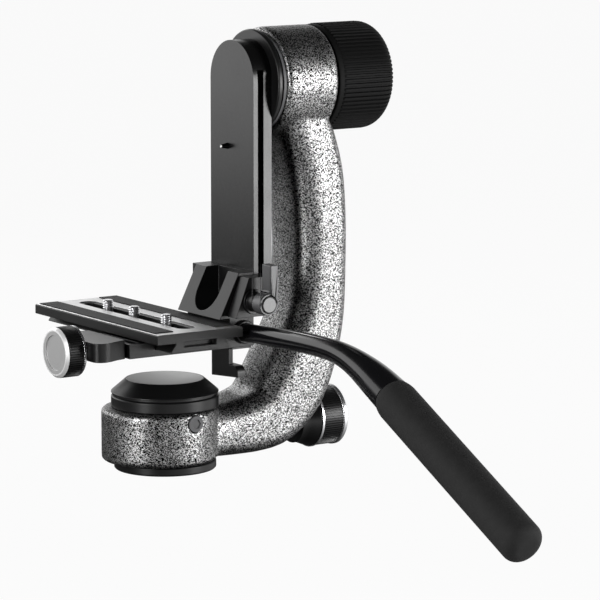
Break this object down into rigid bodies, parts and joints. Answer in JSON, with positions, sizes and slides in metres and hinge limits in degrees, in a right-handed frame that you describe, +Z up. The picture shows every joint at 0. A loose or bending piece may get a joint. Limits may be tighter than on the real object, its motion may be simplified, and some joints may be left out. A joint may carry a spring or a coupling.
{
  "type": "gimbal head",
  "caption": "Camera gimbal head: cast C-shaped arm on a panning base, swinging rail with a sliding dovetail platform, a ribbed tilt knob and a bent pan handle.",
  "frame": {"origin": "centre of the tripod thread at the base disc's underside", "axes": "+Z up along the pan axis, +X along the tilt axis towards the tilt knob, +Y where the lens points, -Y towards the viewer and the handle"},
  "size_m": [0.2085, 0.38, 0.2496],
  "materials": {
    "speckled_paint": "fine black and white speckled texture paint",
    "black_anodised": "satin black anodising",
    "black_plastic": "satin black",
    "grey_anodised": "brushed grey anodising",
    "seal_rubber": "dark grey rubber",
    "steel": "turned steel",
    "bearing_steel": "ground bearing steel",
    "brake_brass": "turned brass",
    "knurled_black": "knurled black anodising",
    "bright_ring": "brushed bare aluminium",
    "knob_core": "turned grey aluminium",
    "ribbed_rubber": "black ribbed rubber",
    "gloss_black_bar": "gloss black enamel",
    "grip_rubber": "matt black foam rubber",
    "satin_lever": "light grey satin metal",
    "bright_button": "bright turned aluminium",
    "screw_steel": "bright threaded steel"
  },
  "bodies": {
    "base": {"base_plate": "black_anodised", "tripod_insert": "steel", "pan_spindle": "steel", "base_screws": "steel", "pan_inner_races": "bearing_steel", "pan_balls": "bearing_steel", "pan_washer": "steel", "pan_nut": "steel"},
    "yoke": {"c_arm": "speckled_paint", "pan_outer_races": "bearing_steel", "bezel_ring": "black_anodised", "cap": "black_anodised", "cap_disc": "grey_anodised", "side_plug": "black_anodised", "tilt_outer_races": "bearing_steel", "hub_seal": "seal_rubber", "pan_knob_collar": "black_plastic"},
    "pan_lock": {"pan_lock_knob": "knurled_black", "pan_knob_rings": "bright_ring", "pan_lock_rod": "steel"},
    "pan_brake": {"pan_brake_pad": "brake_brass"},
    "swing": {"tilt_shaft": "steel", "tilt_disc": "black_anodised", "tilt_flange": "black_anodised", "swing_rail": "black_anodised", "rail_screws": "steel", "rail_stop": "black_anodised", "stop_screw": "steel", "rail_pin": "black_anodised", "tilt_inner_races": "bearing_steel", "tilt_balls": "bearing_steel", "tilt_nut": "steel"},
    "tilt_lock": {"tilt_knob_core": "knob_core", "tilt_knob_grip": "ribbed_rubber", "tilt_knob_cap": "knob_core"},
    "tilt_brake": {"tilt_brake_disc": "brake_brass"},
    "platform": {"bracket": "black_anodised", "handle_bar": "gloss_black_bar", "handle_grip": "grip_rubber", "handle_nut": "black_anodised"},
    "side_jaw": {"rail_jaw": "black_anodised", "jaw_boss": "steel"},
    "lever": {"lock_lever": "satin_lever", "lever_stud": "steel", "lever_spring": "bearing_steel"},
    "lever_press": {"lever_button": "bright_button"},
    "clamp_slide": {"clamp_jaw": "black_anodised"},
    "clamp_turn": {"clamp_knob": "knurled_black", "clamp_knob_face": "bright_ring", "clamp_knob_ring": "bright_ring", "clamp_screw": "steel"},
    "plate": {"quick_plate": "black_anodised", "plate_pads": "grip_rubber"},
    "screw_1": {"camera_screw_1": "screw_steel"},
    "screw_2": {"camera_screw_2": "screw_steel"},
    "screw_3": {"camera_screw_3": "screw_steel"}
  },
  "joints": [
    {"name": "pan", "type": "hinge", "parent": "base", "child": "yoke", "pos_m": [0, 0, 0.02], "axis": [0, 0, 1], "continuous": true},
    {"name": "pan_lock_turn", "type": "hinge", "parent": "yoke", "child": "pan_lock", "pos_m": [0.1, 0, 0.0185], "axis": [-1, 0, 0], "range_deg": [0, 100]},
    {"name": "pan_brake_press", "type": "slide", "parent": "yoke", "child": "pan_brake", "axis": [-1, 0, 0], "range_m": [0, 0.00035]},
    {"name": "tilt", "type": "hinge", "parent": "yoke", "child": "swing", "pos_m": [0.06, 0, 0.213], "axis": [1, 0, 0], "range_deg": [-22, 30]},
    {"name": "tilt_lock_turn", "type": "hinge", "parent": "swing", "child": "tilt_lock", "pos_m": [0.11, 0, 0.213], "axis": [-1, 0, 0], "range_deg": [0, 80]},
    {"name": "tilt_brake_press", "type": "slide", "parent": "swing", "child": "tilt_brake", "axis": [-1, 0, 0], "range_m": [0, 0.0004]},
    {"name": "height", "type": "slide", "parent": "swing", "child": "platform", "axis": [0, 0, 1], "range_m": [-0.012, 0.06]},
    {"name": "lever_turn", "type": "hinge", "parent": "side_jaw", "child": "lever", "pos_m": [0.0387, -0.04, 0.0942], "axis": [0, -1, 0], "range_deg": [0, 100]},
    {"name": "side_jaw_slide", "type": "slide", "parent": "platform", "child": "side_jaw", "axis": [0, -1, 0], "range_m": [0, 0.0004]},
    {"name": "lever_button_press", "type": "slide", "parent": "lever", "child": "lever_press", "axis": [0, 1, 0], "range_m": [0, 0.0016], "stiffness_N_per_m": 400},
    {"name": "clamp_knob_turn", "type": "hinge", "parent": "clamp_slide", "child": "clamp_turn", "pos_m": [-0.06, 0, 0.07135], "axis": [-1, 0, 0], "range_deg": [0, 1440]},
    {"name": "clamp_jaw_slide", "type": "slide", "parent": "platform", "child": "clamp_slide", "axis": [-1, 0, 0], "range_m": [0, 0.004]},
    {"name": "plate_slide", "type": "slide", "parent": "platform", "child": "plate", "axis": [0, 1, 0], "range_m": [-0.05, 0.008]},
    {"name": "screw_1_slide", "type": "slide", "parent": "plate", "child": "screw_1", "axis": [0, 1, 0], "range_m": [-0.014, 0.016]},
    {"name": "screw_2_slide", "type": "slide", "parent": "plate", "child": "screw_2", "axis": [0, 1, 0], "range_m": [-0.018, 0.014]},
    {"name": "screw_3_slide", "type": "slide", "parent": "plate", "child": "screw_3", "axis": [0, 1, 0], "range_m": [-0.016, 0.018]}
  ],
  "couplings": [
    {"joint": "pan_brake_press", "follows": "pan_lock_turn", "m_per_rad": 0.00020054},
    {"joint": "tilt_brake_press", "follows": "tilt_lock_turn", "m_per_rad": 0.00028648},
    {"joint": "lever_turn", "follows": "side_jaw_slide", "rad_per_m": 4363.3},
    {"joint": "clamp_knob_turn", "follows": "clamp_jaw_slide", "rad_per_m": 6283.1}
  ]
}
